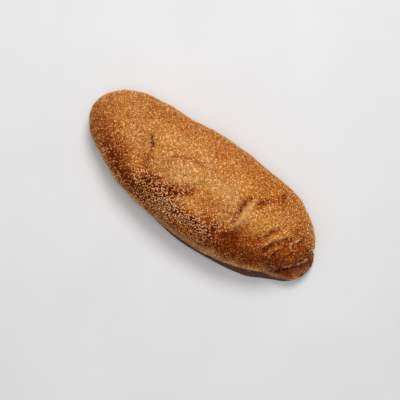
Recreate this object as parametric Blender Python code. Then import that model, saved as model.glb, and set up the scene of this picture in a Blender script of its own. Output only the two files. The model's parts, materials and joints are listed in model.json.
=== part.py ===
"""Fino bread: one long oval roll with a creased crust and coarse bran, on its flat base.

Metres, +Z up. +X runs along the roll to its seam end, +Y to the smoother far side.
The origin is the middle of the flat base.
"""

import math
import random
from collections import namedtuple

import bmesh
import bpy
import numpy as np
from mathutils import Euler, Matrix, Vector, noise

MM = 0.001

# The body: a ball stretched to two unequal halves, cut flat at the base.
WIDTH = 76.4 * MM
LEFT_LENGTH = 100 * MM  # from the widest place to the plain end
RIGHT_LENGTH = 87 * MM  # from the widest place to the crown's seam end
WIDEST_X = 4 * MM
WIDEST_HEIGHT = 17 * MM  # how high the sides stand out most
CROWN_RISE = 29 * MM  # from there to the top of the crust
UNDER_DEPTH = 30 * MM  # how deep the round underside would go if it weren't cut flat
TIP_DROP = 3 * MM  # the ends stand out most a little lower than the middle
LEFT_FULLNESS = 2.2  # of the outline from above: 2 is an ellipse, more is squarer
RIGHT_FULLNESS = 2.15
TOP_FULLNESS = 2.3
SECTION_FULLNESS = 2.15
MIDDLE_SHIFT = -1.0 * MM  # the middle lies to the near side, and both ends to the far side
LEFT_SWAY = 2.4 * MM
RIGHT_SWAY = 6.5 * MM

# Where a side's outline leaves that even curve, outwards (+) or inwards (-), in mm.
Bend = namedtuple("Bend", "side x spread outward")
FAR, NEAR = 1, -1
BENDS = [
    Bend(FAR, -32, 15, -3.2),  # the waist
    Bend(FAR, -80, 12, 1.0),
    Bend(FAR, 57, 12, 1.6),
    Bend(FAR, 82, 9, -1.4),
    Bend(NEAR, -75, 15, -1.9),
    Bend(NEAR, 80, 9, -3.4),  # the crown is cut off slantwise at the seam
]

# The lower lip: the dough that shows outside the seam at the right end.
LIP_CENTRE = (61.7 * MM, -2.4 * MM, 7.5 * MM)
LIP_HALF_SIZE = (35.3 * MM, 20.8 * MM, 10.5 * MM)
LIP_FULLNESS = 2.3
LIP_SECTION_FULLNESS = 2.7

# The foot: the bottom crust, whose round edge stands out under the near side and the seam end.
FOOT_HEIGHT = 5.2 * MM
FOOT_ROUNDING = 3.6 * MM
FOOT_BELOW = 4 * MM  # how far it goes below the cut
FOOT_OUTLINE = [  # in mm; the far side lies inside the body
    (-66, -12), (-48, -26), (-30, -34.6), (-9, -39.2), (11, -40.6), (32, -38.8), (50, -36),
    (64, -32.2), (74, -26.6), (82, -22.4), (88, -19.2), (93.4, -13.4), (95.4, -5),
    (90, 6), (62, 17), (4, 22), (-40, 14),
]
FOOT_STEPS = 3  # points on each stretch of the outline

# Creases, seen from above: a dip of this depth and half-width along the points, in mm.
# The crust beside it stands up by the rise, to the left of its direction (+) or the right (-).
Crease = namedtuple("Crease", "depth width rise points")
CREASES = [
    Crease(1.4, 1.7, -0.6, [(-56, 13), (-50, 7), (-46, 1.5), (-44.5, -5), (-40, -12),
                            (-37, -18), (-32.5, -25), (-31.5, -34)]),
    Crease(1.6, 2.3, 0.9, [(1.5, -1.5), (-2, -5.5), (-5.5, -9), (-9, -12.5), (-14, -15.4),
                           (-19.5, -15.4), (-23, -17)]),
    Crease(0.8, 2.8, 0, [(-31, 3), (-24.5, 7.7), (-19.5, 10.5), (-14, 12), (-4, 10)]),
    Crease(0.7, 1.8, 0.3, [(-4, 32), (-6.3, 26.5), (-5, 21.5), (-1.5, 19.5)]),
    Crease(0.5, 1.8, 0, [(3.5, 21), (1.5, 14), (0, 8.5)]),
    Crease(1.4, 1.9, 0.6, [(53, 28), (49, 23), (45.5, 20), (42, 14.7), (38.5, 9)]),
    Crease(1.9, 1.9, 1.2, [(32, 14), (31, 8.4), (30, 3), (31, -2), (29.4, -7),
                           (26.6, -12.6), (26, -17)]),
    Crease(0.9, 1.6, 0.8, [(23, -4.4), (19, -7), (16.5, -9.5), (15, -13)]),
    Crease(1.0, 1.6, 0.7, [(64, 12), (60, 3), (56, -4), (53, -11)]),
    Crease(1.0, 1.5, 0.6, [(73, 8), (69, 0), (64, -8), (60, -14)]),
    Crease(0.9, 1.5, 0.6, [(81, 9), (77, 1), (72, -7), (68, -12)]),
    Crease(0.6, 1.8, 0, [(-66, 9), (-66.5, 3), (-65, -3)]),
]
RISE_OFFSET = 1.6  # the middle of the raised edge, in widths from the dip
RISE_SPREAD = 1.3  # its own half-width, in the same widths
CREASE_RUN_OUT = 0.22  # the part of a crease's length over which each end gets shallow
CREASE_END = 0.25  # how much of the depth is left at the very end

# Hollows and swells, seen from above: middle, radius and height, in mm.
Swell = namedtuple("Swell", "x y radius height")
SWELLS = [
    Swell(35, -18, 5.5, -1.2),
    Swell(-25, -25, 6, -0.8),
    Swell(10, -30, 4.5, -0.9),
    Swell(-72, 0, 17, 1.2),
    Swell(-38, -21, 6, 0.9),
    Swell(48, 0, 13, 0.9),
    Swell(0, -21, 8, 0.9),
    Swell(24, -9, 4, 0.6),
    Swell(-14, -1, 11, 0.6),
    Swell(75, -4, 5, 0.6),
]

# Lumps all over the crust, and crags where the coarse bran lies.
Bumps = namedtuple("Bumps", "height spacing")
WANDER = Bumps(1.6 * MM, 7 * MM)  # how far creases wander from their points
LUMPS = Bumps(0.9 * MM, 17 * MM)
RIPPLES = Bumps(0.4 * MM, 6 * MM)
CRAGS = Bumps(0.9 * MM, 4 * MM)
RELIEF_ENDS = (-0.17, 0.17)  # heights on the unit ball between which creases and crags run out

# How much coarse bran lies on the crust: this much everywhere, more on the near side left of
# the right crease, and less on the smooth right side. A patch starts at edge_y, in mm.
BRAN_EVERYWHERE = 0.3
BRAN_LEAST = 0.04
Patch = namedtuple("Patch", "x reach edge_y fade amount")
BRAN_PATCHES = [Patch(-4, 30, -4, 14, 1.0), Patch(55, 26, -8, 10, -0.28)]

# The largest bran flakes, sunk in the crust.
FLAKES = 160
FLAKE_RADIUS = (0.9 * MM, 1.4 * MM)
FLAKE_THICKNESS = 1.1 * MM
FLAKE_SUNK = 0.12 * MM  # how far the middle of a flake lies under the surface
FLAKE_CORNERS = 5
FLAKE_TAPER = 0.66
FLAKE_UNEVENNESS = 0.22  # of its radius
FLAKE_NARROWING = (0.6, 0.95)
FLAKE_TILT = 14  # degrees
FLAKE_SPACING = 4.8 * MM
FLAKE_LOWEST = 12 * MM
FLAKE_FACES_UP = -0.1  # the least upward slope of the crust that a flake lies on

# The finish of the crust.
CRUST_COLOUR = (0.42, 0.17, 0.05, 1)
CRUST_ROUGHNESS = 0.72
SHARP_EDGE = math.radians(40)

# Mesh sizes: steps round and along each ball.
CROWN_STEPS = (110, 190)
LIP_STEPS = (28, 20)
CROWN_TRIANGLES = 6000
FOOT_ROUNDING_STEPS = 3
SMALLEST_EDGE = 0.02 * MM
CUT_TOLERANCE = 0.001 * MM

RANDOM_SEED = 11


def clear_scene():
    for obj in list(bpy.data.objects):
        bpy.data.objects.remove(obj, do_unlink=True)


def crust_material():
    material = bpy.data.materials.new("crust")
    material.use_nodes = True
    shader = material.node_tree.nodes["Principled BSDF"]
    shader.inputs["Base Color"].default_value = CRUST_COLOUR
    shader.inputs["Roughness"].default_value = CRUST_ROUGHNESS
    shader.inputs["Metallic"].default_value = 0.0
    return material


def object_from_points(name, points, faces, collection):
    mesh = bpy.data.meshes.new(name)
    mesh.from_pydata([tuple(point) for point in points], [], faces)
    obj = bpy.data.objects.new(name, mesh)
    collection.objects.link(obj)
    return obj


def object_from_bmesh(name, bm, collection):
    mesh = bpy.data.meshes.new(name)
    bm.to_mesh(mesh)
    bm.free()
    obj = bpy.data.objects.new(name, mesh)
    collection.objects.link(obj)
    return obj


def apply_modifier(obj, kind, **settings):
    """Adds a modifier, sets it and keeps its result as the object's mesh."""
    modifier = obj.modifiers.new(kind.title(), kind)
    for name, value in settings.items():
        setattr(modifier, name, value)
    depsgraph = bpy.context.evaluated_depsgraph_get()
    mesh = bpy.data.meshes.new_from_object(obj.evaluated_get(depsgraph))
    obj.modifiers.remove(modifier)
    obj.data = mesh


def superellipse(fraction, fullness):
    """Half-width at a fraction of the half-length: 1 in the middle and 0 at the tips."""
    return (1 - np.minimum(np.abs(fraction), 1) ** fullness) ** (1 / fullness)


def onto_section(across, up, fullness):
    """Takes points across and up from the long axis to a rounded square of this fullness."""
    angle = np.arctan2(up, across)
    across, up = np.cos(angle), np.sin(angle)
    size = (np.abs(across) ** fullness + np.abs(up) ** fullness) ** (-1 / fullness)
    return across * size, up * size


def ball(steps_round, steps_long):
    """Points of a unit ball with its poles on X, ring by ring, and the faces between them."""
    rings = [
        (-math.cos(a), math.sin(a) * math.cos(b), math.sin(a) * math.sin(b))
        for a in (math.pi * i / steps_long for i in range(1, steps_long))
        for b in (math.tau * j / steps_round for j in range(steps_round))
    ]
    last = len(rings) + 1
    faces = []
    for j in range(steps_round):
        k = (j + 1) % steps_round
        starts = range(1, last - steps_round, steps_round)
        faces += [(i + j, i + k, i + steps_round + k, i + steps_round + j) for i in starts]
        faces += [(0, 1 + k, 1 + j), (last, last - steps_round + j, last - steps_round + k)]
    return np.array([(-1, 0, 0), *rings, (1, 0, 0)]), faces


def bell(distance, reach):
    return np.exp(-((distance / reach) ** 2))


def side_bends(x, across):
    """How far the bends of the outline move each point along Y."""
    return sum(
        bend.side * bend.outward * MM * bell(x / MM - bend.x, bend.spread)
        * np.clip(across * bend.side, 0, 1)
        for bend in BENDS
    )


def roll_form(unit):
    """Takes points of the unit ball to the smooth form of the roll."""
    along = unit[:, 0]
    across, up = onto_section(unit[:, 1], unit[:, 2], SECTION_FULLNESS)
    x = WIDEST_X + along * np.where(along < 0, LEFT_LENGTH, RIGHT_LENGTH)
    plan_fullness = np.where(along < 0, LEFT_FULLNESS, RIGHT_FULLNESS)
    half_width = superellipse(along, plan_fullness) * WIDTH / 2
    half_height = superellipse(along, TOP_FULLNESS) * np.where(up > 0, CROWN_RISE, UNDER_DEPTH)
    middle = MIDDLE_SHIFT + along**2 * np.where(along < 0, LEFT_SWAY, RIGHT_SWAY)
    y = middle + across * half_width + side_bends(x, across)
    z = WIDEST_HEIGHT - TIP_DROP * along**2 + up * half_height
    return np.column_stack([x, y, z])


def outward(unit):
    """The direction straight out of the crust at points of the unit ball."""
    half_size = np.array([(LEFT_LENGTH + RIGHT_LENGTH) / 2, WIDTH / 2, CROWN_RISE])
    direction = unit / half_size
    return direction / np.linalg.norm(direction, axis=1)[:, None]


def along_crease(crease, x, y):
    """Each point's distance to the crease, its side (+1 left) and its place along it (0 to 1)."""
    points = np.array(crease.points) * MM
    steps = np.diff(points, axis=0)
    lengths = np.hypot(*steps.T)
    starts = np.concatenate([[0], np.cumsum(lengths)])
    nearest = np.full(len(x), np.inf)
    side = np.zeros(len(x))
    place = np.zeros(len(x))
    for (px, py), (sx, sy), length, start in zip(points, steps, lengths, starts):
        part = np.clip(((x - px) * sx + (y - py) * sy) / length**2, 0, 1)
        dx, dy = x - px - part * sx, y - py - part * sy
        distance = np.hypot(dx, dy)
        closer = distance < nearest
        nearest = np.where(closer, distance, nearest)
        side = np.where(closer, np.sign(sx * dy - sy * dx), side)
        place = np.where(closer, (start + part * length) / starts[-1], place)
    return nearest, side, place


def crease_height(crease, x, y):
    distance, side, place = along_crease(crease, x, y)
    from_dip = distance / (crease.width * MM)
    dip = crease.depth * bell(from_dip, 1)
    from_rise = side * math.copysign(1, crease.rise) * from_dip - RISE_OFFSET
    rise = abs(crease.rise) * bell(from_rise, RISE_SPREAD)
    from_end = np.minimum(place, 1 - place)
    return (rise - dip) * np.clip(from_end / CREASE_RUN_OUT + CREASE_END, 0, 1) * MM


def swell_height(swell, x, y):
    distance = np.hypot(x / MM - swell.x, y / MM - swell.y)
    return swell.height * bell(distance, swell.radius) * MM


def coarse_bran(x, y):
    """How much coarse bran lies here, from 0 to 1."""
    patches = sum(
        patch.amount * bell(x / MM - patch.x, patch.reach)
        * np.clip((patch.edge_y - y / MM) / patch.fade, 0, 1)
        for patch in BRAN_PATCHES
    )
    return np.clip(BRAN_EVERYWHERE + patches, BRAN_LEAST, 1)


def bump_heights(bumps, points):
    return bumps.height * np.array([noise.noise(Vector(p) / bumps.spacing) for p in points])


def relief(points, unit):
    """How far the crust stands out from the smooth form at each point."""
    wander_x = bump_heights(WANDER, points)
    wander_y = bump_heights(WANDER, points[:, [1, 2, 0]])
    x, y = points[:, 0] + wander_x, points[:, 1] + wander_y
    height = sum(crease_height(crease, x, y) for crease in CREASES)
    height = height + sum(swell_height(swell, x, y) for swell in SWELLS)
    height = height + bump_heights(CRAGS, points) * coarse_bran(x, y)
    height = height * np.interp(unit[:, 2], RELIEF_ENDS, (0, 1))
    return height + bump_heights(LUMPS, points) + bump_heights(RIPPLES, points)


def make_crown(collection):
    unit, faces = ball(*CROWN_STEPS)
    smooth = roll_form(unit)
    points = smooth + outward(unit) * relief(smooth, unit)[:, None]
    crown = object_from_points("loaf", points, faces, collection)
    ratio = CROWN_TRIANGLES / sum(len(face) - 2 for face in faces)
    apply_modifier(crown, "DECIMATE", ratio=ratio, use_collapse_triangulate=True)
    return crown


def make_lower_lip(collection):
    unit, faces = ball(*LIP_STEPS)
    along = unit[:, 0]
    across, up = onto_section(unit[:, 1], unit[:, 2], LIP_SECTION_FULLNESS)
    size = superellipse(along, LIP_FULLNESS)
    points = np.column_stack([along, across * size, up * size])
    object_from_points("lower_lip", points * LIP_HALF_SIZE + LIP_CENTRE, faces, collection)


def smooth_outline(corners, steps):
    """A closed smooth curve through the corners."""
    count = len(corners)
    outline = []
    for i in range(count):
        before, start, end, after = (Vector(corners[(i + k) % count]) for k in (-1, 0, 1, 2))
        for step in range(steps):
            t = step / steps
            outline.append(
                0.5 * (2 * start + (end - before) * t
                       + (2 * before - 5 * start + 4 * end - after) * t**2
                       + (3 * start - before - 3 * end + after) * t**3)
            )
    return outline


def make_foot(collection):
    bm = bmesh.new()
    outline = smooth_outline(FOOT_OUTLINE, FOOT_STEPS)
    bottom = bm.faces.new([bm.verts.new((p.x * MM, p.y * MM, -FOOT_BELOW)) for p in outline])
    raised = bmesh.ops.extrude_face_region(bm, geom=[bottom])["geom"]
    top = {item for item in raised if isinstance(item, bmesh.types.BMVert)}
    bmesh.ops.translate(bm, vec=(0, 0, FOOT_HEIGHT + FOOT_BELOW), verts=list(top))
    rim = [edge for edge in bm.edges if top.issuperset(edge.verts)]
    bmesh.ops.bevel(
        bm, geom=rim, offset=FOOT_ROUNDING, segments=FOOT_ROUNDING_STEPS, profile=0.5,
        affect="EDGES",
    )
    bmesh.ops.recalc_face_normals(bm, faces=bm.faces)
    object_from_bmesh("foot", bm, collection)


def flake_places(crown, rng):
    """Points and normals on the crust, spread by area, amount of bran and spacing."""
    triangles = [p for p in crown.data.polygons if p.normal.z > FLAKE_FACES_UP]
    corners = [[crown.data.vertices[i].co for i in p.vertices] for p in triangles]
    areas = [p.area for p in triangles]
    places = []
    while len(places) < FLAKES:
        pick = rng.choices(range(len(triangles)), areas)[0]
        a, b, c = corners[pick]
        u, v = sorted((rng.random(), rng.random()))
        point = a * u + b * (v - u) + c * (1 - v)
        wanted = rng.random() < coarse_bran(point.x, point.y) and point.z > FLAKE_LOWEST
        if wanted and all((point - other).length > FLAKE_SPACING for other, _ in places):
            places.append((point, triangles[pick].normal.copy()))
    return places


def make_flake(name, point, normal, rng, collection):
    """A flat uneven chip with a smaller top, lying almost flush in the crust."""
    radius = rng.uniform(*FLAKE_RADIUS)
    tilt = [math.radians(rng.uniform(-FLAKE_TILT, FLAKE_TILT)) for _ in range(2)]
    turn = Euler((*tilt, rng.uniform(0, math.tau))).to_matrix().to_4x4()
    upright = normal.to_track_quat("Z", "Y").to_matrix().to_4x4()
    narrow = Matrix.Diagonal((1, rng.uniform(*FLAKE_NARROWING), 1, 1))
    bm = bmesh.new()
    bmesh.ops.create_cone(
        bm, cap_ends=True, segments=FLAKE_CORNERS, radius1=radius,
        radius2=radius * FLAKE_TAPER, depth=FLAKE_THICKNESS,
    )
    for vert in bm.verts:
        vert.co.xy *= 1 + rng.uniform(-FLAKE_UNEVENNESS, FLAKE_UNEVENNESS)
    bm.transform(Matrix.Translation(point - normal * FLAKE_SUNK) @ upright @ turn @ narrow)
    object_from_bmesh(name, bm, collection)


def make_flakes(crown, collection):
    rng = random.Random(RANDOM_SEED)
    for i, (point, normal) in enumerate(flake_places(crown, rng)):
        make_flake(f"flake_{i}", point, normal, rng, collection)


def join_all(loaf, collection):
    """Fuses everything in the collection to the loaf, and removes what it held."""
    apply_modifier(
        loaf, "BOOLEAN", operation="UNION", solver="EXACT",
        operand_type="COLLECTION", collection=collection,
    )
    for obj in list(collection.objects):
        bpy.data.objects.remove(obj, do_unlink=True)
    bpy.data.collections.remove(collection)


def cut_flat_base(loaf):
    bm = bmesh.new()
    bm.from_mesh(loaf.data)
    geometry = bm.verts[:] + bm.edges[:] + bm.faces[:]
    cut = bmesh.ops.bisect_plane(
        bm, geom=geometry, plane_co=(0, 0, 0), plane_no=(0, 0, 1), clear_inner=True,
        dist=CUT_TOLERANCE,
    )
    rim = [item for item in cut["geom_cut"] if isinstance(item, bmesh.types.BMEdge)]
    bmesh.ops.edgeloop_fill(bm, edges=rim)
    bm.to_mesh(loaf.data)
    bm.free()


def centre_on_base(loaf):
    """Puts the middle of the box's bottom at the origin."""
    points = np.array([v.co[:] for v in loaf.data.vertices])
    middle = (points.min(axis=0) + points.max(axis=0)) / 2
    loaf.data.transform(Matrix.Translation((-middle[0], -middle[1], 0)))


def finish_surface(loaf, material):
    bm = bmesh.new()
    bm.from_mesh(loaf.data)
    bmesh.ops.dissolve_degenerate(bm, edges=bm.edges, dist=SMALLEST_EDGE)
    bmesh.ops.triangulate(bm, faces=bm.faces)
    bmesh.ops.recalc_face_normals(bm, faces=bm.faces)
    bm.to_mesh(loaf.data)
    bm.free()
    loaf.data.materials.clear()
    loaf.data.materials.append(material)
    loaf.data.shade_smooth()
    loaf.data.set_sharp_from_angle(angle=SHARP_EDGE)


def make_loaf():
    scene = bpy.context.scene.collection
    joined = bpy.data.collections.new("joined")
    scene.children.link(joined)
    loaf = make_crown(scene)
    make_lower_lip(joined)
    make_foot(joined)
    make_flakes(loaf, joined)
    join_all(loaf, joined)
    cut_flat_base(loaf)
    centre_on_base(loaf)
    finish_surface(loaf, crust_material())


clear_scene()
make_loaf()
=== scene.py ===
"""Fino bread roll: a browned crust with folds, a torn seam, bran flakes and a dark bottom crust
with painted contact shadow.
"""

import json
import math
from collections import namedtuple

import bpy
import numpy as np
from mathutils import Matrix, Vector, noise

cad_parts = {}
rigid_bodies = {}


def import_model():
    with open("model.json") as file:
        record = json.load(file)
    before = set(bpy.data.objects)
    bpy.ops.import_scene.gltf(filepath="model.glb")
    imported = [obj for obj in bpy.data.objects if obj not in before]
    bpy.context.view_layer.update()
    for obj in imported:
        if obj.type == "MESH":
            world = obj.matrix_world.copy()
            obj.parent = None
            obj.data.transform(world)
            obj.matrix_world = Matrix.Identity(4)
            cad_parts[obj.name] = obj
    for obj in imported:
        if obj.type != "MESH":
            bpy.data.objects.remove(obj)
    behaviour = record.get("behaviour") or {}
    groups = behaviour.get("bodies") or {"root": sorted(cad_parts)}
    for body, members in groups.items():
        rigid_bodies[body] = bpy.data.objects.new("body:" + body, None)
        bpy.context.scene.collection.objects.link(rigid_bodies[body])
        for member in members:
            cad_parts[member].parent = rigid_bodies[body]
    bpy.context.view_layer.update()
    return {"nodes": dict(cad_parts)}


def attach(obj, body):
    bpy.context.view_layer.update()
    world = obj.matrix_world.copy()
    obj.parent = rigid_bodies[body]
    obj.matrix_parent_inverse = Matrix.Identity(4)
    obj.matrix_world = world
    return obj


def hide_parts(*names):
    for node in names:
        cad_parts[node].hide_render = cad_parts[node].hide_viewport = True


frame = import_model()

MM = 0.001

# The crust's mesh, made even before it is shaped and thinned out afterwards.
CRUST_CELL = 0.55 * MM
CRUST_TRIANGLES = 190_000
SEAM_HEIGHTS = (9 * MM, 15 * MM)  # below these the seam and the foot keep their edges
TOP_SMOOTHING = 30
FOOT_SMOOTHING = 3
JOIN_WITHIN = 0.01 * MM  # the solid's points this close together become one
EASE = 0.5  # how far each step of smoothing goes
WEIGHT_STEPS = 255  # of the weights painted on the mesh, which are too fine to show

# The crust's forms, drawn as strokes in the photograph's view: an amount, a half-width in mm,
# and the points that the stroke runs through, in mm from the roll's middle.
Stroke = namedtuple("Stroke", "amount width points")

CREASES = [  # sharp folds, by their depth in mm
    # the left fold: crisp on the top, softer down to the near side
    Stroke(2.2, 0.9, [(-50.5, 8), (-48.6, 5.6), (-46, 3.3), (-44.6, 1.4), (-44.4, -1)]),
    Stroke(0.7, 2.2, [(-44.6, 0), (-43.4, -4), (-42.8, -7), (-41.8, -11), (-39.5, -14.5),
                      (-37, -17)]),
    Stroke(1.0, 1.6, [(-37.5, -16), (-35.5, -21), (-33.5, -26), (-30.5, -31)]),
    # the torn hollow in the middle
    Stroke(1.2, 1.3, [(-2, -4), (-4, -6.5), (-5.2, -9), (-7.5, -11.5)]),
    Stroke(0.9, 1.4, [(-7, -11), (-9, -13), (-11, -14.5)]),
    Stroke(1.5, 1.4, [(-9.5, -15.6), (-12.5, -17.2), (-16, -17.2), (-19.5, -16)]),
    Stroke(1.0, 1.3, [(-14.5, -16), (-15.2, -19), (-17, -22)]),
    Stroke(0.8, 1.2, [(-3, 2), (-1, 0), (1.6, -2.2)]),
    # shallow lines on the far side
    Stroke(0.8, 1.9, [(-27, 4), (-23.5, 7.5), (-18.5, 9.3), (-12, 11), (-7, 10.6), (-3.5, 9.5)]),
    Stroke(1.1, 1.0, [(-7, 28), (-6.2, 24.5), (-5.2, 22.5), (-3.8, 20.8)]),
    Stroke(0.7, 1.0, [(4, 20.5), (3, 17.5), (1.8, 13), (1.2, 8.5)]),
    # the long fold right of the middle, in two parts
    Stroke(1.1, 1.6, [(52.5, 30), (52.4, 27.5), (52, 24.5), (50.4, 21.8), (48, 20.8)]),
    Stroke(1.1, 2.2, [(47.5, 20.8), (44, 18.6), (41.5, 15.6), (40, 13.2), (38.5, 10.5),
                      (37.3, 8.8)]),
    # the deep fold beside the smooth ridge
    Stroke(1.8, 1.2, [(34.2, 15.5), (32.6, 12), (31.8, 9), (31.6, 5.5), (31.8, 2), (32.2, -1.5),
                      (32.4, -5), (31.8, -8.2), (30.6, -10.8)]),
    Stroke(1.4, 1.8, [(28.5, -11.5), (26, -13), (25.5, -16.5), (24.2, -20), (21.5, -22.5)]),
    Stroke(1.3, 1.2, [(28.5, -4.2), (25.5, -5), (22.4, -6.4), (20, -8.6), (18.2, -10.6)]),
    # the wrinkles towards the seam
    Stroke(1.2, 1.4, [(62.3, 7), (60.4, 4.6), (59.2, 2.4), (58.6, -0.5), (57.6, -3.2)]),
    Stroke(1.0, 1.3, [(64.3, 12.5), (63.6, 9.5), (62, 6.5), (61.5, 3.5)]),
    Stroke(0.9, 1.8, [(57, -3), (55, -6), (53.5, -9)]),
    Stroke(1.3, 1.3, [(73.2, 8.6), (71.6, 5.8), (70.4, 3), (68.2, 0.6), (66.4, -2.2), (65.2, -5.2),
                      (63.6, -8.6), (61.6, -12.4)]),
    Stroke(1.3, 1.2, [(72.4, 2.5), (71.6, -2), (70.2, -6.6), (69, -10.5)]),
    Stroke(1.3, 1.0, [(80.6, 10.5), (79, 7), (78, 4.5)]),
    Stroke(0.9, 1.1, [(79, 0), (77.4, -4.5), (76.6, -8.6)]),
    # the torn seam
    Stroke(2.2, 0.7, [(89.5, 7.5), (88.4, 3.5), (87.4, 0), (86.3, -3.8), (84.9, -7.4), (83, -10.4),
                      (81.4, -13), (79.6, -15.8), (77.6, -18.4), (75.4, -20)]),
]
RIDGES = [  # rounded folds, by their height in mm
    Stroke(1.0, 2.0, [(-50, 4), (-47.6, 2), (-46.6, -0.5)]),
    Stroke(0.6, 2.0, [(-46.5, 7.5), (-43.6, 4.8)]),
    Stroke(0.8, 2.4, [(-47, -17.5), (-43, -20.5), (-39, -23.5), (-35.6, -27.5), (-32.8, -31.5),
                      (-31, -35)]),
    Stroke(0.8, 1.3, [(-76.2, 8.5), (-75.4, 3.5), (-76.2, -1.5), (-74.6, -6)]),
    Stroke(0.8, 1.0, [(-69, -16.5), (-67, -19.5), (-64.6, -22.8), (-62.4, -26.2)]),
    Stroke(0.8, 0.9, [(-0.6, 30.5), (-1.9, 27), (-3.2, 23.8)]),
    # around the torn hollow
    Stroke(1.0, 2.4, [(-16, -9.5), (-12.5, -8), (-9, -4), (-5.5, -1.8), (-2.5, -1.5)]),
    Stroke(1.2, 2.6, [(-1, -8.5), (-3.5, -12), (-7, -16.5), (-10.5, -19.5), (-12, -23)]),
    Stroke(0.7, 2.6, [(1, -13.5), (6, -15.5), (10, -14)]),
    # beside the long folds
    Stroke(1.1, 2.8, [(55, 27), (52.5, 21), (48.5, 16.5), (44.5, 12.5), (41.5, 9)]),
    Stroke(0.5, 1.6, [(46.5, 23.5), (41, 20), (37, 16)]),
    Stroke(1.5, 2.0, [(37.4, 14), (35.6, 10), (35, 5), (35.4, 0), (35.8, -5), (34.8, -9.5)]),
    Stroke(0.9, 4.0, [(38, 8), (37.4, 2), (38, -4)]),
    Stroke(0.9, 1.5, [(34.4, -9.5), (33, -13.5), (31.5, -17)]),
    Stroke(1.3, 1.5, [(28.6, -6.4), (25, -7.2), (21.8, -9.2), (20.2, -12), (21.5, -15),
                      (23.2, -17.5)]),
    # the wrinkles towards the seam
    Stroke(0.9, 1.0, [(69.4, 7.4), (66.6, 4.4), (64, 1.8), (61.8, -1.2), (61, -4.4), (60.2, -7.6),
                      (58.6, -10.6)]),
    Stroke(0.6, 1.1, [(60.6, 7.6), (57.8, 4.2), (55.8, 1), (54.6, -1.6)]),
    Stroke(0.7, 1.4, [(69.6, -3.4), (67, -7.6), (64.6, -11.6), (62.8, -15.4)]),
    Stroke(0.8, 1.5, [(77.4, 2.6), (75.8, -2), (74.6, -6.2), (73.6, -9.5)]),
    Stroke(0.8, 1.0, [(84, 3), (82, -2), (80, -6)]),
]
SWELLS = [  # broad forms, by their height in mm
    Stroke(-1.4, 4.0, [(40, -11), (36, -17), (31, -22)]),
    Stroke(-1.0, 3.4, [(-3, -6), (-9, -12.5), (-18, -16), (-26, -19)]),
    Stroke(-0.8, 3.0, [(27, -12), (25, -18), (22, -23)]),
    Stroke(-0.6, 3.0, [(56, 2), (55, -6)]),
    Stroke(-0.8, 2.6, [(70, 2), (68, -8)]),
    Stroke(-1.0, 4.0, [(-60, -19), (-48, -25), (-40, -29)]),
    Stroke(0.9, 6.0, [(-25, 2), (-15, 4), (-8, 2)]),
    Stroke(0.9, 5.0, [(-54, -12), (-44, -17)]),
    Stroke(0.7, 7.0, [(48, 8), (46, -3)]),
]
TORN = [  # pale edges of torn crust, raised by these heights in mm
    Stroke(0.8, 0.4, [(89.6, 2), (88.9, -0.4), (87.8, -2.8), (86.2, -5.8), (85, -8)]),
    Stroke(0.8, 0.4, [(83.4, -6.6), (82.3, -8.8), (80.9, -11.2), (79.8, -12.8)]),
    Stroke(1.0, 0.5, [(78.0, 9.6), (77.0, 8.8), (76.4, 8.0)]),
    Stroke(1.0, 0.5, [(76.4, 7.4), (75.6, 6.6), (75.8, 5.8)]),
    Stroke(1.0, 0.5, [(74.4, 5.0), (74.2, 3.8), (73.6, 3.2)]),
    Stroke(1.0, 0.5, [(74.0, 2.2), (74.8, 1.6), (75.8, 1.6)]),
    Stroke(0.5, 0.5, [(75.4, -7.8), (74.4, -9.4)]),
    Stroke(0.5, 0.4, [(78.2, -6.4), (77.4, -7.6)]),
]
CRACK_SHADES = [  # painted shadow in the thinnest, deepest lines, from 0 to 1
    Stroke(1.0, 0.55, [(88.6, 4.6), (87.5, 0.3), (86.3, -3.6), (84.9, -7.2), (83, -10.4),
                       (81.4, -13), (79.6, -15.8), (77.6, -18.4), (75.6, -20)]),
    Stroke(0.55, 0.6, [(-49.4, 6.6), (-46, 3.3), (-44.6, 1.4)]),
    Stroke(0.4, 0.6, [(31.8, 9), (31.5, 5.5), (31.6, 2), (32, -1.5), (32.2, -5), (31.6, -8.2)]),
    Stroke(0.4, 0.7, [(59.6, 4.6), (58.2, 2.6)]),
    Stroke(0.4, 0.6, [(72, 7), (70.4, 4.2), (69.4, 2.6)]),
    Stroke(0.4, 0.7, [(-4.4, -7.4), (-6.8, -10.8)]),
    Stroke(0.5, 0.8, [(-12, -16.8), (-16.5, -16.8)]),
    Stroke(0.3, 0.7, [(52.2, 25.4), (51.4, 23)]),
]
GOLDEN = [  # bare golden ridges, partly a painted highlight, from 0 to 1
    Stroke(1.0, 0.9, [(66.6, 4.4), (64, 1.8), (61.8, -1.2), (61, -4.4), (60.2, -7.6)]),
    Stroke(0.6, 2.4, [(38, 14), (36.4, 10), (36, 5), (36.4, 0), (36.6, -5), (35.4, -10)]),
    Stroke(0.5, 1.1, [(28.6, -6.6), (25, -7.6), (21.8, -9.8), (20.4, -12.5)]),
    Stroke(0.5, 1.6, [(51, 20), (47.5, 16.5), (43.5, 12.8)]),
    Stroke(0.4, 1.3, [(-76, 7), (-75.4, 3), (-76, -2)]),
    Stroke(0.6, 0.8, [(-0.6, 30), (-1.9, 27), (-3, 24.4)]),
]
STRAY = (1.0, 3.5)  # how far the forms stray from their points, and over what length, in mm
BAKE_STRAY = (3.0, 9.0)
RIM_STRAY = (0.7, 6.0)
BELL = 2.0  # how the strokes fall off to their sides, which is sharper in the middle when less
CREASE_BELL = 1.7
STROKE_ENDS = 0.15  # the part of a stroke's length over which each end gets shallow
END_SHARE = 0.2  # how much of it is left at the very end
BROKEN_LENGTH = 3.5 * MM  # the creases are deeper and shallower over this length
BROKEN_SHARE = (0.8, 0.8)  # the usual share of their depth, and how far noise takes it from there
BROKEN_RANGE = (0.25, 1.25)  # the least and the greatest share
RIDGES_BROKEN = 0.5  # ridges are broken in the same way, but by this part of it
TORN_PATCHES = 2.2 * MM  # the torn edges come in patches of this size
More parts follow.
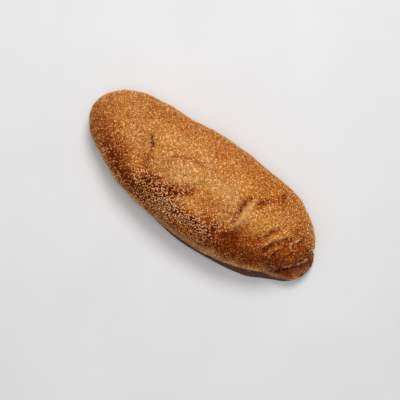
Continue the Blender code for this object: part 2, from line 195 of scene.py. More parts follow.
TORN_BETWEEN = (-0.6, -0.05)  # where the patches' own noise lets them start and be whole
LOW_EDGE = (5 * MM, 9 * MM)  # the forms run out between these heights
DARKEST_FOLD = 1.6  # mm deep, where the painted shade in a fold is darkest
RIDGE_PALER = 0.5  # the part of a ridge's height that takes painted shade off a fold beside it
PALEST_TEAR = 0.7  # mm high

# Each kind of noise is read from its own place, so that no two are alike.
NOISE_AT = {"across": 0.0, "upward": 31.7, "broken": 7.3, "torn": 3.1, "rim": 5.7}

# Relief in the crust: where it is felt, the size of its cells, its height, and how many times
# finer relief lies on top.
Relief = namedtuple("Relief", "name felt cell height finer")
RELIEFS = [
    Relief("lumps", "free", 9 * MM, 0.8 * MM, 1),
    Relief("clumps", "coarse", 4 * MM, 0.4 * MM, 0),
    Relief("crags", "coarse", 1.6 * MM, 1.4 * MM, 2),
    Relief("grain", "free", 0.9 * MM, 0.35 * MM, 0),
]
OFF_BOARD = (0.3 * MM, 2 * MM)  # the base stays flat, and the crust is free between these heights
ABOVE_FOOT = (5 * MM, 11 * MM)  # bran lies above the foot, from between these heights

# How coarse the bran lies, from 0 to 1: everywhere, and more or less along strokes.
BRAN_EVERYWHERE = 0.22
BRAN_LEAST = 0.03
BRAN = [
    Stroke(0.7, 9, [(-26, -24), (-5, -28.6), (16, -29.6)]),
    Stroke(0.5, 3.8, [(-28, -32), (-10, -34.5), (16, -32)]),
    Stroke(0.3, 6, [(18, -18), (26, -24)]),
    Stroke(0.2, 7, [(-70, -20), (-45, -28)]),
    Stroke(0.25, 4, [(-46, -15), (-40, -20), (-36, -27)]),
    Stroke(-0.12, 9, [(38, -18), (60, -20), (80, -12)]),
    Stroke(-0.2, 4, [(35, 8), (35.5, -8)]),
    Stroke(0.3, 5, [(-14, -15), (-4, -8)]),
    Stroke(0.12, 4, [(46, 20), (39, 11)]),
    Stroke(0.10, 5, [(28, 6), (26, -4)]),
]

CRAG_POWER = 1.6  # crags and flakes keep to the coarsest places by these powers
FLAKE_POWER = 1.3
GAPS_FROM = 0.4  # how coarse the bran is before dark gaps show in it

# Where hardly any bran lies.
SMOOTH = [
    Stroke(0.5, 3.2, [(37, 11), (36.5, 4), (36.5, -9)]),
    Stroke(0.7, 7, [(-74, -17), (-60, -23), (-43, -29)]),
    Stroke(0.7, 8, [(40, -20), (62, -20), (78, -15)]),
    Stroke(0.7, 8, [(54, 22), (50, 10), (47, -2)]),
    Stroke(0.7, 9, [(66, -2), (80, 0), (90, -6)]),
]

# Painted reflected light on the lower edge of the near side: a pale band, which ends where the side
# turns away from view.
TURNED_AWAY = (-0.12, 0.08)
RIM_PATCHES = 5 * MM
RIM_BETWEEN = (-0.35, 0.25)
RIM_LEAST = 0.5  # how pale it is outside its patches, as a share of inside
BRAN_OFF_IN_REFLECTION = 0.6  # the share of the bran that is left off under the painted reflected light
RIM = [
    Stroke(0.9, 1.2, [(-47, -33.4), (-36, -35.8), (-20, -37.6), (0, -38.4), (20, -37.2),
                      (30, -35.4), (45, -33.2), (58, -30), (66, -26.4), (72, -23), (78, -20.2),
                      (86, -17.2), (91, -13.2)]),
    Stroke(0.2, 2.5, [(-16, -36.5), (-2, -37.2), (14, -36.4), (34, -33.2)]),
    Stroke(0.30, 3, [(93, 0), (91, -8), (87, -14)]),
]

# How dark the crust is baked, from 0 to 1: everywhere, and more or less along strokes.
BAKED_EVERYWHERE = 0.40
BAKED_LEAST = 0.15
BAKED = [
    # the top
    Stroke(-0.17, 11, [(-15, 3), (5, 3), (18, 5)]),
    Stroke(-0.07, 10, [(-48, 11), (-30, 17), (-12, 16)]),
    Stroke(-0.12, 8, [(40, 4), (46, 2), (52, 8)]),
    Stroke(-0.06, 5, [(-24, -6), (-10, -6), (0, -12)]),
    Stroke(0.15, 5, [(11, -5), (23, -3)]),
    Stroke(0.09, 5, [(9, -12), (24, -12)]),
    Stroke(0.08, 4, [(-58, -9), (-44, -11)]),
    # the far side
    Stroke(0.13, 9, [(-72, 22), (-40, 31), (0, 35), (40, 32)]),
    Stroke(0.12, 9, [(60, 25), (70, 20)]),
    # both ends
    Stroke(0.18, 12, [(-92, 2), (-84, -4)]),
    Stroke(0.26, 7, [(70, -7), (74, -3), (80, 1), (86, -3)]),
    Stroke(0.22, 8, [(78, 12), (88, 6)]),
    Stroke(0.45, 5, [(92, 2), (89, -8), (83, -16)]),
    # the near side, from the left
    Stroke(0.36, 8, [(-84, -12), (-70, -19), (-56, -25), (-42, -30)]),
    Stroke(-0.14, 6, [(-84, -10), (-76, -19), (-66, -26)]),
    Stroke(0.16, 4, [(-72, -11), (-54, -14)]),
    Stroke(-0.15, 2.5, [(-66, -27), (-50, -32)]),
    Stroke(0.10, 5, [(-62, -21), (-44, -27)]),
    Stroke(-0.22, 4.5, [(-47, -14), (-41, -21)]),
    Stroke(0.16, 4, [(-38, -30), (-28, -32)]),
    Stroke(0.25, 5, [(-34, -18), (-29, -26)]),
    Stroke(0.38, 8, [(-20, -36), (20, -36)]),
    Stroke(-0.20, 4.5, [(-12, -20), (4, -20), (20, -21)]),
    Stroke(0.14, 4.5, [(8, -28), (26, -28)]),
    Stroke(-0.12, 4, [(20, -21), (24, -23)]),
    Stroke(0.12, 4, [(26, -14), (24, -19)]),
    Stroke(0.45, 6, [(30, -29), (45, -30), (56, -27)]),
    Stroke(0.42, 9, [(38, -18), (54, -21), (68, -19), (78, -15)]),
    Stroke(0.30, 4, [(39, -15), (34, -22)]),
    Stroke(0.08, 5, [(42, -11), (56, -12), (66, -12)]),
    Stroke(-0.35, 5, [(50, -30), (70, -25)]),
    Stroke(0.08, 5, [(64, -10), (70, -14)]),
    # painted shade in the folds and painted highlight on the ridges, from the left
    Stroke(0.15, 1.6, [(-43.5, -5), (-41.8, -11), (-38, -16)]),
    Stroke(0.12, 3, [(-27, 4), (-18, 9.3), (-12, 11), (-7, 10.6)]),
    Stroke(0.30, 2.5, [(-10, -15.5), (-18, -17)]),
    Stroke(0.40, 2.2, [(-4.5, -7), (-7, -11)]),
    Stroke(-0.15, 2.6, [(-10, -19.5), (-6.5, -16.5), (-1, -14.5)]),
    Stroke(-0.12, 2.4, [(27, -8), (22.5, -11), (21, -15)]),
    Stroke(0.20, 2.0, [(31, 10), (31.2, -6)]),
    Stroke(-0.14, 3.5, [(34, -3), (33, -12)]),
    Stroke(-0.18, 2.4, [(36, 6), (36.4, -2), (35.4, -9)]),
    Stroke(0.10, 4.5, [(38, 24), (33, 13)]),
    Stroke(0.18, 2.4, [(46, 20.5), (41.5, 14.5), (39.5, 11)]),
    Stroke(0.20, 1.8, [(52, 27), (51.2, 22.5)]),
    Stroke(0.10, 2.5, [(58, -4), (54, -10)]),
    Stroke(0.30, 1.4, [(59.4, 4.8), (57.6, 1), (56.4, -1.6)]),
    Stroke(0.25, 1.4, [(65.4, -4.8), (63.4, -8.2), (61.4, -12)]),
    Stroke(-0.14, 4, [(66, 8), (68, 0)]),
    Stroke(-0.15, 1.8, [(69.6, -3.4), (64.6, -11.6)]),
    Stroke(0.30, 1.4, [(71, 6), (69.4, 2.4), (67.6, -0.4)]),
]

# How pink rather than golden the crust is, from 0 to 1: everywhere, and along strokes.
PINK_EVERYWHERE = 0.35
PINK = [
    Stroke(0.45, 12, [(-45, 8), (-15, 9), (5, 9), (22, 6)]),
    Stroke(0.3, 8, [(-30, -10), (-20, -4), (-12, 0)]),
    Stroke(-0.3, 9, [(46, 12), (64, 6)]),
    Stroke(-0.3, 6, [(-30, 33), (0, 31), (35, 30), (52, 24)]),
    Stroke(0.4, 10, [(-26, -26), (-5, -22), (16, -28)]),
    Stroke(0.4, 7, [(34, -18), (54, -20)]),
]

# The bran, in two layers: the least gap between flakes, how many would lie on a square metre,
# their widths in mm, their own tones, the mask that says where they lie, and a random seed.
Layer = namedtuple("Layer", "name gap density widths tones mask seed")
COARSE_BRAN = Layer("bran_flakes", 1.05 * MM, 2.5e6, (0.85, 1.55), (-0.50, 0.42), "bran_cover", 11)
FINE_BRAN = Layer("bran_grit", 0.98 * MM, 3.6e6, (0.48, 0.88), (-0.4, 0.35), "grit_cover", 23)
FLAKE_CORNERS = (5, 4, 5, 4)  # of each kind of flake
FLAKE_RADIUS = 0.5 * MM
FLAKE_THICKNESS = 0.3 * MM
FLAKE_TOP = 0.6  # the width of its top, as a part of its base
FLAKE_UNEVENNESS = 0.12 * MM
FLAKE_TILT = 0.5
FLAKE_NARROWING = (0.7, 0.9)  # how much less broad than wide flakes are, at the least and most
FLAKE_STRETCH = (0.8, 1.4)  # of its thickness

# Finish of the crust, as linear colours, from bran dust to the darkest bake.
BAKE_COLOURS = [
    (0.00, (0.96, 0.62, 0.30, 1)),
    (0.15, (0.66, 0.312, 0.081, 1)),
    (0.36, (0.52, 0.200, 0.034, 1)),
    (0.58, (0.41, 0.096, 0.012, 1)),
    (0.80, (0.26, 0.038, 0.005, 1)),
    (1.00, (0.12, 0.014, 0.001, 1)),
]
# the golden colour of the ridges, partly a painted highlight
RIDGE_GOLD = (0.80, 0.345, 0.105, 1)
GOLDER = (1.05, 1.0, 0.76, 1)  # broad patches of the crust are tinted from one of these
PINKER = (0.97, 1.0, 0.98, 1)  # to the other
ROSY = (1.07, 0.90, 0.92, 1)  # and this where the bran lies thick
# the near-black of the painted shadow in the cracks
CRACK_SHADE_BROWN = (0.03, 0.008, 0.003, 1)
TORN_CRUMB = (0.82, 0.45, 0.24, 1)
# the colour of the painted reflected light, low down and on the lower edge
REFLECTED_PINK = (0.56, 0.285, 0.165, 1)
# the foot's dark bottom crust, darkened further as painted contact shadow, with paler scuffs
FOOT_BROWN_AND_SHADOW = (0.130, 0.060, 0.042, 1)
FOOT_TAN = (0.260, 0.115, 0.060, 1)

# The photograph's view: the camera looks steeply down, with the roll lying across the frame.
VIEW_TARGET = Vector((4.0, -8.2, 20.0)) * MM
VIEW_DISTANCE = 0.6
VIEW_ELEVATION = math.radians(85)
VIEW_ROLL = math.radians(36.5)
VIEW_BACK = Vector((0, -math.cos(VIEW_ELEVATION), math.sin(VIEW_ELEVATION)))
VIEW_UPWARD = Vector((0, math.sin(VIEW_ELEVATION), math.cos(VIEW_ELEVATION)))
VIEW_WIDTH = 280.6 * MM
VIEW_MIDDLE = np.array([4.5, -9.3])  # where the strokes' own plane has the view's middle
SENSOR_WIDTH = 36.0

# How the finish varies: clouds of noise of this size, detail and roughness, of which one range
# is stretched to another.
Clouds = namedtuple("Clouds", "cell detail roughness between to")
TINTS = Clouds(16 * MM, 2, 0.5, (0.35, 0.65), (-0.35, 0.35))
MOTTLES = (
    Clouds(14 * MM, 3, 0.6, (0.3, 0.7), (-0.05, 0.05)),
    Clouds(3.5 * MM, 3, 0.6, (0.3, 0.7), (-0.03, 0.03)),
    Clouds(0.55 * MM, 2, 0.6, (0.3, 0.7), (-0.15, 0.15)),
)
SCUFFS = Clouds(2.5 * MM, 4, 0.7, (0.5, 0.72), (0, 0.8))
UNEVEN_SHINE = Clouds(0.8 * MM, 2, 0.5, (0.3, 0.7), (-0.08, 0.08))
STREAKS = Clouds(0.5 * MM, 2, 0.5, (0.3, 0.7), (-0.12, 0.12))
BRAN_ROUGHNESS = Clouds(0.4 * MM, 2, 0.5, (0.3, 0.7), (0.5, 0.7))
BOARD_CLOUDS = Clouds(80 * MM, 3, 0.5, (0.3, 0.7), (0, 1))

# How dark each spot of the crust is, as steps of baking.
GRAIN = 0.75 * MM  # the size of the crust's own grains
GRAIN_STEPS = ((0.28, 0.20, 0.24), (0.88, 0.92, -0.30))  # the darkest grains, and the palest
# painted shade in the folds, and the dark gaps in coarse bran, as steps of baking
DARKENED_BY = (("fold", 0.4), ("gaps", 1.0))
BRAN_LEVELS = (-0.40, 0.22)  # of the palest flakes and the darkest
BRAN_BAKED = 0.68  # the part of the crust's own level that they take on

GOLD_SHARE = 0.6
# how far the crust goes over to the painted reflected light
RIM_SHARE = 0.8
LOW_REFLECTION = (9 * MM, 5.5 * MM)  # painted reflected light makes the crust paler down to the foot
FOOT_TOP = (5.6 * MM, 5.0 * MM)
BAKED_BETWEEN = (0.3, 0.9)  # between these levels of baking
BAKED_ROUGHNESS = (0.66, 0.45)  # the roughness goes from one to the other
DULLNESS = 0.04  # how much the crust reflects, where 0.5 is varnish
GRAIN_HEIGHT = -0.7  # grains are highest in their middles
BUMP_CLOUDS = (1.8 * MM, 4, 0.6)
BUMP_HEIGHT = 0.6 * MM
BUMP_STRENGTH = 0.8
BOARD_SIZE = 4  # metres
BOARD_GREYS = ((0.78, 0.78, 0.78, 1), (0.82, 0.82, 0.82, 1))
BOARD_ROUGHNESS = 0.6

# Lamps: their names, places, sizes in metres, power in watts and colours.
LAMPS = (
    ("window", Vector((-0.22, 0.48, 0.97)), 0.45, 6.25, (1.0, 0.98, 0.95)),
    ("overhead", Vector((0, -0.1, 1.2)), 0.8, 4.5, (0.97, 0.98, 1.0)),
)
ROOM_COLOUR = (0.93, 0.95, 1.0, 1)
ROOM_LIGHT = 0.27


# --- modelling helpers ---

def deselect_all():
    bpy.ops.object.select_all(action="DESELECT")


def work_on(piece):
    """Makes this the one selected and active object."""
    deselect_all()
    piece.select_set(True)
    bpy.context.view_layer.objects.active = piece


def finish_with(piece, kind, **settings):
    """Adds a modifier, sets it and applies it."""
    work_on(piece)
    modifier = piece.modifiers.new(kind.title(), kind)
    for name, value in settings.items():
        setattr(modifier, name, value)
    bpy.ops.object.modifier_apply(modifier=modifier.name)


def in_edit_mode(piece, *steps):
    """Runs the modelling steps on everything in the piece."""
    work_on(piece)
    bpy.ops.object.mode_set(mode="EDIT")
    bpy.ops.mesh.select_all(action="SELECT")
    for step in steps:
        step()
    bpy.ops.object.mode_set(mode="OBJECT")


def points_of(piece):
    points = np.empty(len(piece.data.vertices) * 3)
    piece.data.vertices.foreach_get("co", points)
    return points.reshape(-1, 3)


def paint_weights(piece, name, weights):
    """A vertex group with these weights from 0 to 1, in steps fine enough not to show."""
    group = piece.vertex_groups.new(name=name)
    levels = np.rint(np.clip(weights, 0, 1) * WEIGHT_STEPS).astype(int)
    for level in np.unique(levels[levels > 0]):
        group.add(np.flatnonzero(levels == level).tolist(), level / WEIGHT_STEPS, "REPLACE")
    return group.name


def paint_mask(piece, name, values):
    """A number for each point, which the materials read by its name."""
    mask = piece.data.attributes.new(name, "FLOAT", "POINT")
    mask.data.foreach_set("value", values.astype(np.float32))


def ramp(values, start, end):
    """0 before the start, 1 after the end and smooth in between."""
    t = np.clip((values - start) / (end - start), 0, 1)
    return t * t * (3 - 2 * t)


def uneven(points, length, kind):
    """Smooth noise of this kind, from about -1 to 1, with waves of this length."""
    shift = Vector([NOISE_AT[kind]] * 3)
    return np.array([noise.noise(Vector(p) / length + shift) for p in points])


# --- the crust ---

def even_copy_of_solid(name):
    """The loaf's solid as one skin of small even cells."""
    mesh = frame["nodes"]["loaf"].data.copy()
    mesh.materials.clear()
    crust = bpy.data.objects.new(name, mesh)
    bpy.context.scene.collection.objects.link(crust)
    in_edit_mode(crust, lambda: bpy.ops.mesh.remove_doubles(threshold=JOIN_WITHIN))
    finish_with(crust, "REMESH", mode="VOXEL", voxel_size=CRUST_CELL)
    return crust


def smooth_top(crust):
    """Rubs the solid's flat faces away above the seam, and eases them below it."""
    height = points_of(crust)[:, 2]
    top = paint_weights(crust, "top", ramp(height, *SEAM_HEIGHTS))
    finish_with(crust, "SMOOTH", factor=EASE, iterations=TOP_SMOOTHING, vertex_group=top)
    finish_with(crust, "SMOOTH", factor=EASE, iterations=FOOT_SMOOTHING)


def along_stroke(stroke, places):
    """Each place's distance to the stroke, in mm, and how far along it lies (0 to 1)."""
    corners = np.array(stroke.points, float)
    steps = np.diff(corners, axis=0)
    lengths = np.hypot(*steps.T)
    starts = np.concatenate([[0], np.cumsum(lengths)])
    nearest = np.full(len(places), np.inf)
    along = np.zeros(len(places))
    for corner, step, length, start in zip(corners, steps, lengths, starts):
        away = places - corner
        part = np.clip(away @ step / length**2, 0, 1)
        distance = np.hypot(*(away - part[:, None] * step).T)
        along = np.where(distance < nearest, (start + part * length) / starts[-1], along)
        nearest = np.minimum(nearest, distance)
    return nearest, along


def drawn(strokes, places, bell=BELL, ends=0.0):
    """The sum of the strokes at each place, with both ends of each run out where asked for."""
    total = np.zeros(len(places))
    for stroke in strokes:
        distance, along = along_stroke(stroke, places)
        amount = stroke.amount * np.exp(-((distance / stroke.width) ** bell))
        if ends:
            amount *= np.clip(np.minimum(along, 1 - along) / ends + END_SHARE, 0, 1)
        total += amount
    return total


def seen_from_above(points, stray):
    """Places in mm in the photograph's view, where high parts look further out, straying
    this far over this length as the dough does."""
    away = points - np.array(VIEW_TARGET)
    nearness = VIEW_DISTANCE / (VIEW_DISTANCE - away @ np.array(VIEW_BACK))
    across, upward = away[:, 0] * nearness, away @ np.array(VIEW_UPWARD) * nearness
    far, length = stray
    shifts = [uneven(points, length * MM, kind) for kind in ("across", "upward")]
    return np.column_stack([across, upward]) / MM + VIEW_MIDDLE + far * np.column_stack(shifts)


def facing_view(piece):
    """How squarely each point's surface faces the photograph's view, 0 where it is edge-on."""
    normals = np.empty(len(piece.data.vertices) * 3)
    piece.data.vertex_normals.foreach_get("vector", normals)
    return normals.reshape(-1, 3) @ np.array(VIEW_BACK)


def press_forms(crust):
    """Presses the creases in and raises the ridges, and marks them for the finish, with painted
    shade in the folds and cracks.
    """
    points = points_of(crust)
    places = seen_from_above(points, STRAY)
    usual, more = BROKEN_SHARE
    broken = np.clip(usual + more * uneven(points, BROKEN_LENGTH, "broken"), *BROKEN_RANGE)
    creases = drawn(CREASES, places, CREASE_BELL, STROKE_ENDS) * broken
    ridges = drawn(RIDGES, places, BELL, STROKE_ENDS)
    ridges *= 1 - RIDGES_BROKEN + RIDGES_BROKEN * broken
    torn = drawn(TORN, places, BELL, STROKE_ENDS) * broken
    torn *= ramp(uneven(points, TORN_PATCHES, "torn"), *TORN_BETWEEN)
    heights = drawn(SWELLS, places) + ridges + torn - creases
    heights *= ramp(points[:, 2], *LOW_EDGE)
    for name, part, sign in (("pressed_in", -heights, -1), ("raised", heights, 1)):
        most = part.max()
        group = paint_weights(crust, name, part / most)
        finish_with(
            crust, "DISPLACE", strength=sign * most * MM, mid_level=0, vertex_group=group,
            direction="NORMAL",
        )
    paint_mask(crust, "fold", np.clip((creases - RIDGE_PALER * ridges) / DARKEST_FOLD, 0, 1))
    paint_mask(crust, "golden", np.clip(drawn(GOLDEN, places, ends=STROKE_ENDS), 0, 1))
    paint_mask(crust, "torn", np.clip(torn / PALEST_TEAR, 0, 1))
    paint_mask(crust, "crack", np.clip(drawn(CRACK_SHADES, places, ends=STROKE_ENDS), 0, 1))


def roughen(crust, relief):
    """Raises and sinks the crust by a cloudy texture."""
    texture = bpy.data.textures.new(relief.name, "CLOUDS")
    texture.noise_scale = relief.cell
    texture.noise_depth = relief.finer
    finish_with(
        crust, "DISPLACE", texture=texture, texture_coords="LOCAL", strength=relief.height,
        mid_level=0.5, vertex_group=relief.felt,
    )
    bpy.data.textures.remove(texture)


def painted_reflection(crust, points):
    """How strong the painted reflected light on the lower edge of the near side is at each point,
    in patches.
    """
    rim = np.clip(drawn(RIM, seen_from_above(points, RIM_STRAY), ends=STROKE_ENDS), 0, 1)
    rim *= ramp(facing_view(crust), *TURNED_AWAY)
    patches = ramp(uneven(points, RIM_PATCHES, "rim"), *RIM_BETWEEN)
    return rim * (RIM_LEAST + (1 - RIM_LEAST) * patches)


def bake_crust(crust):
    """Lumps and crags in the surface, and masks for how dark and how coarse each place is and where
    reflected light is painted.
    """
    points = points_of(crust)
    height = points[:, 2]
    places = seen_from_above(points, BAKE_STRAY)
    above_foot = ramp(height, *ABOVE_FOOT)
    rim = painted_reflection(crust, points)
    coarse = np.clip(BRAN_EVERYWHERE + drawn(BRAN, places), BRAN_LEAST, 1) * above_foot
    coarse *= 1 - BRAN_OFF_IN_REFLECTION * rim
    smooth = np.clip(drawn(SMOOTH, places), 0, 1)
    paint_weights(crust, "free", ramp(height, *OFF_BOARD))
    paint_weights(crust, "coarse", coarse**CRAG_POWER)
    for relief in RELIEFS:
        roughen(crust, relief)
    paint_mask(crust, "bran_cover", coarse**FLAKE_POWER)
    paint_mask(crust, "grit_cover", (1 - coarse) * (1 - smooth) * above_foot)
    paint_mask(crust, "gaps", np.clip(coarse * (1 + GAPS_FROM) - GAPS_FROM, 0, 1))
    paint_mask(crust, "rim", rim)
    paint_mask(crust, "pink", np.clip(PINK_EVERYWHERE + drawn(PINK, places), 0, 1))
    paint_mask(crust, "bake", np.clip(BAKED_EVERYWHERE + drawn(BAKED, places), BAKED_LEAST, 1))


def thin_out(crust):
    """Fewer triangles, where the surface is smoothest."""
    triangles = sum(len(face.vertices) - 2 for face in crust.data.polygons)
    finish_with(crust, "DECIMATE", ratio=min(1, CRUST_TRIANGLES / triangles))


def make_crust():
    crust = even_copy_of_solid("loaf_crust")
    smooth_top(crust)
    press_forms(crust)
    bake_crust(crust)
    crust.vertex_groups.clear()
    work_on(crust)
    bpy.ops.object.shade_smooth()
    return crust


# --- bran ---

def model_flake(name, corners, seed, collection):
    """An uneven chip 1 mm wide, with a smaller top."""
    rise = {"value": (0, 0, FLAKE_THICKNESS)}
    bpy.ops.mesh.primitive_circle_add(vertices=corners, radius=FLAKE_RADIUS, fill_type="NGON")
    flake = bpy.context.active_object
    flake.name = name
    in_edit_mode(
        flake,
        lambda: bpy.ops.mesh.extrude_region_move(TRANSFORM_OT_translate=rise),
        lambda: bpy.ops.transform.resize(value=(FLAKE_TOP, FLAKE_TOP, 1)),
        lambda: bpy.ops.mesh.select_all(action="SELECT"),
        lambda: bpy.ops.transform.vertex_random(offset=FLAKE_UNEVENNESS, seed=seed),
        lambda: bpy.ops.mesh.normals_make_consistent(inside=False),
    )
    for other in list(flake.users_collection):
        other.objects.unlink(flake)
    collection.objects.link(flake)
    return flake


def add_node(tree, kind, links=(), **values):
    """A node with some of its inputs set, or linked from other nodes' outputs."""
    node = tree.nodes.new(kind)
    for name, value in values.items():
        setattr(node, name, value)
    for socket, value in links:
        if isinstance(value, bpy.types.NodeSocket):
            tree.links.new(value, node.inputs[socket])
        else:
            node.inputs[socket].default_value = value
    return node


def random_between(tree, low, high, seed):
    """A random number or vector for each flake."""
    kind, sockets = ("FLOAT_VECTOR", (0, 1)) if isinstance(low, tuple) else ("FLOAT", (2, 3))
    node = add_node(
        tree, "FunctionNodeRandomValue",
        [(sockets[0], low), (sockets[1], high), ("Seed", seed)], data_type=kind,
    )
    return node.outputs[0 if kind == "FLOAT_VECTOR" else 1]


def spread_points(tree, surface, layer):
    """Points on the surface with room between them, where the layer's mask says."""
    chance = add_node(
        tree, "GeometryNodeInputNamedAttribute", [("Name", layer.mask)], data_type="FLOAT"
    )
    return add_node(
        tree, "GeometryNodeDistributePointsOnFaces",
        [("Mesh", surface), ("Distance Min", layer.gap), ("Density Max", layer.density),
         ("Density Factor", chance.outputs["Attribute"]), ("Seed", layer.seed)],
        distribute_method="POISSON",
    )


def place_flakes(tree, spread, flakes, layer):
    """Flakes of all kinds on the points, each turned, tilted and sized in its own way."""
    kinds = add_node(
        tree, "GeometryNodeCollectionInfo",
        [("Collection", flakes), ("Separate Children", True), ("Reset Children", True)],
    )
    least, most = (-FLAKE_TILT, -FLAKE_TILT, 0.0), (FLAKE_TILT, FLAKE_TILT, math.tau)
    turned = add_node(
        tree, "FunctionNodeRotateRotation",
        [("Rotation", spread.outputs["Rotation"]),
         ("Rotate By", random_between(tree, least, most, layer.seed + 1))],
        rotation_space="LOCAL",
    )
    smallest, largest = (
        (width, width * narrowing, stretch)
        for width, narrowing, stretch in zip(layer.widths, FLAKE_NARROWING, FLAKE_STRETCH)
    )
    return add_node(
        tree, "GeometryNodeInstanceOnPoints",
        [("Points", spread.outputs["Points"]), ("Instance", kinds.outputs[0]),
         ("Pick Instance", True), ("Rotation", turned.outputs[0]),
         ("Scale", random_between(tree, smallest, largest, layer.seed + 2))],
    )


def scatter_on(crust, flakes, layer):
    """A piece made of a layer of flakes lying on the crust."""
    tree = bpy.data.node_groups.new(layer.name, "GeometryNodeTree")
    tree.interface.new_socket("Geometry", in_out="INPUT", socket_type="NodeSocketGeometry")
    tree.interface.new_socket("Geometry", in_out="OUTPUT", socket_type="NodeSocketGeometry")
    given = add_node(tree, "NodeGroupInput")
    spread = spread_points(tree, given.outputs[0], layer)
    placed = place_flakes(tree, spread, flakes, layer)
    toned = add_node(
        tree, "GeometryNodeStoreNamedAttribute",
        [("Geometry", placed.outputs[0]), ("Name", "tone"),
         ("Value", random_between(tree, *layer.tones, layer.seed + 3))],
        data_type="FLOAT", domain="INSTANCE",
    )
    real = add_node(tree, "GeometryNodeRealizeInstances", [("Geometry", toned.outputs[0])])
    add_node(tree, "NodeGroupOutput", [(0, real.outputs[0])])

    bran = bpy.data.objects.new(layer.name, crust.data.copy())
    bpy.context.scene.collection.objects.link(bran)
    finish_with(bran, "NODES", node_group=tree)
    bran.data.materials.clear()
    bpy.data.node_groups.remove(tree)
    return bran


def make_bran(crust):
    kinds = bpy.data.collections.new("flake_kinds")
    bpy.context.scene.collection.children.link(kinds)
    for i, corners in enumerate(FLAKE_CORNERS):
        model_flake(f"flake_{i}", corners, i + 1, kinds)
    layers = [scatter_on(crust, kinds, layer) for layer in (COARSE_BRAN, FINE_BRAN)]
    for flake in list(kinds.objects):
        bpy.data.objects.remove(flake, do_unlink=True)
    bpy.data.collections.remove(kinds)
    return layers


# --- finishes ---

def new_finish(name):
    material = bpy.data.materials.new(name)
    material.use_nodes = True
    return material, material.node_tree, material.node_tree.nodes["Principled BSDF"]


def noise_of(tree, place, cell, detail, roughness):
    """Noise with features of about this size, from 0 to 1."""
    return add_node(
        tree, "ShaderNodeTexNoise",
        [("Vector", place), ("Scale", 1 / cell), ("Detail", detail), ("Roughness", roughness)],
    ).outputs["Fac"]


def stretch(tree, value, low, high, to_low=0.0, to_high=1.0):
    """Maps the range from low to high to another one, and stops there."""
    return add_node(
        tree, "ShaderNodeMapRange",
        [("Value", value), ("From Min", low), ("From Max", high),
         ("To Min", to_low), ("To Max", to_high)],
    ).outputs[0]


def clouds_of(tree, place, clouds):
    """A number that varies from place to place, in soft patches."""
    level = noise_of(tree, place, clouds.cell, clouds.detail, clouds.roughness)
    return stretch(tree, level, *clouds.between, *clouds.to)


def mix(tree, amount, first, second, blend="MIX"):
    node = add_node(tree, "ShaderNodeMix", data_type="RGBA", blend_type=blend)
    for socket, value in ((0, amount), (6, first), (7, second)):
        if isinstance(value, bpy.types.NodeSocket):
            tree.links.new(value, node.inputs[socket])
        else:
            node.inputs[socket].default_value = value
    return node.outputs[2]


def math_of(tree, operation, first, second):
    return add_node(
        tree, "ShaderNodeMath", [(0, first), (1, second)], operation=operation
    ).outputs[0]


def mask_of(tree, name):
    return add_node(tree, "ShaderNodeAttribute", attribute_name=name).outputs["Fac"]


def baked_colour(tree, level):
    """The crust's colour at this level of baking."""
    node = add_node(tree, "ShaderNodeValToRGB", [(0, level)])
    steps = node.color_ramp.elements
    while len(steps) < len(BAKE_COLOURS):
        steps.new(0.5)
    for step, (place, colour) in zip(steps, BAKE_COLOURS):
        step.position = place
        step.color = colour
    return node.outputs["Color"]


def tinted(tree, place, colour):
    """The colour in broad patches of golder and pinker crust, and rosy under the bran."""
    pink = math_of(tree, "ADD", clouds_of(tree, place, TINTS), mask_of(tree, "pink"))
    colour = mix(tree, 1.0, colour, mix(tree, pink, GOLDER, PINKER), "MULTIPLY")
    rosy = mix(tree, 1.0, colour, ROSY, "MULTIPLY")
    return mix(tree, mask_of(tree, "bran_cover"), colour, rosy)


def bake_level(tree, place, grains):
    """How dark each spot is, from its place on the crust, its mottles and grains, the painted shade
    in its folds, and its gaps.
    """
    level = mask_of(tree, "bake")
    for mottles in MOTTLES:
        level = math_of(tree, "ADD", level, clouds_of(tree, place, mottles))
    tone = add_node(tree, "ShaderNodeSeparateColor", [(0, grains.outputs["Color"])]).outputs[0]
    for start, end, change in GRAIN_STEPS:
        level = math_of(tree, "ADD", level, stretch(tree, tone, start, end, 0, change))
    for mask, share in DARKENED_BY:
        step = math_of(tree, "MULTIPLY", mask_of(tree, mask), share)
        level = math_of(tree, "ADD", level, step)
    return level


def crust_colour(tree, place, grains):
    """The baked colour, with golden ridges partly painted as highlight, painted reflected light low
    down and on the lower edge, torn crumb, painted shadow in the cracks, and the foot's dark crust
    with painted contact shadow.
    """
    height = add_node(tree, "ShaderNodeSeparateXYZ", [(0, place)]).outputs["Z"]
    colour = tinted(tree, place, baked_colour(tree, bake_level(tree, place, grains)))
    golden = math_of(tree, "MULTIPLY", mask_of(tree, "golden"), GOLD_SHARE)
    colour = mix(tree, golden, colour, RIDGE_GOLD)
    rim = math_of(tree, "MAXIMUM", stretch(tree, height, *LOW_REFLECTION), mask_of(tree, "rim"))
    colour = mix(tree, math_of(tree, "MULTIPLY", rim, RIM_SHARE), colour, REFLECTED_PINK)
    colour = mix(tree, mask_of(tree, "torn"), colour, TORN_CRUMB)
    colour = mix(tree, mask_of(tree, "crack"), colour, CRACK_SHADE_BROWN)
    foot = mix(tree, clouds_of(tree, place, SCUFFS), FOOT_BROWN_AND_SHADOW, FOOT_TAN)
    return mix(tree, stretch(tree, height, *FOOT_TOP), colour, foot)


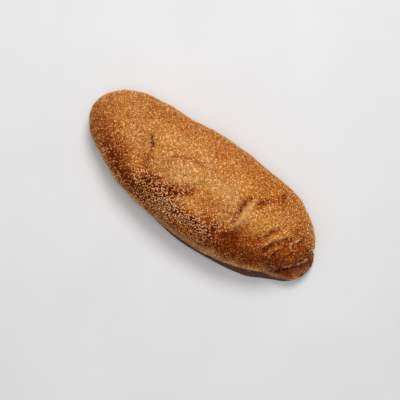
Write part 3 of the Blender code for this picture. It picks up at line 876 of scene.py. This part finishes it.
def crust_finish():
    """Baked crust: tan and gold, darker where it is baked, with painted shade in its folds and fine
    bran specks.
    """
    material, tree, shader = new_finish("baked_crust")
    place = add_node(tree, "ShaderNodeTexCoord").outputs["Object"]
    grains = add_node(tree, "ShaderNodeTexVoronoi", [("Vector", place), ("Scale", 1 / GRAIN)])
    tree.links.new(crust_colour(tree, place, grains), shader.inputs["Base Color"])

    shader.inputs["Specular IOR Level"].default_value = DULLNESS
    shine = stretch(tree, mask_of(tree, "bake"), *BAKED_BETWEEN, *BAKED_ROUGHNESS)
    shine = math_of(tree, "ADD", shine, clouds_of(tree, place, UNEVEN_SHINE))
    tree.links.new(shine, shader.inputs["Roughness"])

    rounded = math_of(tree, "MULTIPLY", grains.outputs["Distance"], GRAIN_HEIGHT)
    bumps = math_of(tree, "ADD", rounded, noise_of(tree, place, *BUMP_CLOUDS))
    bump = add_node(
        tree, "ShaderNodeBump",
        [("Height", bumps), ("Distance", BUMP_HEIGHT), ("Strength", BUMP_STRENGTH)],
    )
    tree.links.new(bump.outputs[0], shader.inputs["Normal"])
    return material


def bran_finish():
    """Flakes from pale tan to toasted brown, darker on baked crust."""
    material, tree, shader = new_finish("bran")
    place = add_node(tree, "ShaderNodeTexCoord").outputs["Object"]
    own = stretch(tree, mask_of(tree, "tone"), 0, 1, *BRAN_LEVELS)
    baked = math_of(tree, "MULTIPLY", mask_of(tree, "bake"), BRAN_BAKED)
    level = math_of(tree, "ADD", own, baked)
    level = math_of(tree, "ADD", level, clouds_of(tree, place, STREAKS))
    colour = tinted(tree, place, baked_colour(tree, level))
    tree.links.new(colour, shader.inputs["Base Color"])
    tree.links.new(clouds_of(tree, place, BRAN_ROUGHNESS), shader.inputs["Roughness"])
    shader.inputs["Specular IOR Level"].default_value = DULLNESS
    return material


def floor_finish():
    """Pale matt board with a hardly visible cloudiness."""
    material, tree, shader = new_finish("pale_board")
    place = add_node(tree, "ShaderNodeTexCoord").outputs["Object"]
    colour = mix(tree, clouds_of(tree, place, BOARD_CLOUDS), *BOARD_GREYS)
    tree.links.new(colour, shader.inputs["Base Color"])
    shader.inputs["Roughness"].default_value = BOARD_ROUGHNESS
    return material


# --- surroundings ---

def add_floor():
    bpy.ops.mesh.primitive_plane_add(size=BOARD_SIZE)
    floor = bpy.context.active_object
    floor.name = "floor"
    floor.data.materials.append(floor_finish())


def add_softbox(name, place, size, power, colour):
    light = bpy.data.lights.new(name, "AREA")
    light.shape = "DISK"
    light.size = size
    light.energy = power
    light.color = colour
    lamp = bpy.data.objects.new(name, light)
    lamp.location = place
    lamp.rotation_euler = (VIEW_TARGET - lamp.location).to_track_quat("-Z", "Y").to_euler()
    bpy.context.scene.collection.objects.link(lamp)


def add_lights():
    for lamp in LAMPS:
        add_softbox(*lamp)
    world = bpy.data.worlds.new("room")
    world.use_nodes = True
    background = world.node_tree.nodes["Background"]
    background.inputs["Color"].default_value = ROOM_COLOUR
    background.inputs["Strength"].default_value = ROOM_LIGHT
    bpy.context.scene.world = world


def add_camera():
    right = Vector((1, 0, 0)) * math.cos(VIEW_ROLL) + VIEW_UPWARD * math.sin(VIEW_ROLL)
    up = VIEW_BACK.cross(right)
    camera = bpy.data.objects.new("camera", bpy.data.cameras.new("camera"))
    turn = Matrix((right, up, VIEW_BACK)).transposed().to_4x4()
    camera.matrix_world = Matrix.Translation(VIEW_TARGET + VIEW_BACK * VIEW_DISTANCE) @ turn
    camera.data.sensor_width = SENSOR_WIDTH
    camera.data.lens = SENSOR_WIDTH * VIEW_DISTANCE / VIEW_WIDTH
    bpy.context.scene.collection.objects.link(camera)
    bpy.context.scene.camera = camera


deselect_all()
crust = make_crust()
flakes, grit = make_bran(crust)
thin_out(crust)
crust.data.materials.append(crust_finish())
bran = bran_finish()
for piece in (flakes, grit):
    piece.data.materials.append(bran)
for piece in (crust, flakes, grit):
    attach(piece, "root")
    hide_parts("loaf")

add_floor()
add_lights()
add_camera()
bpy.context.scene.view_settings.view_transform = "Standard"
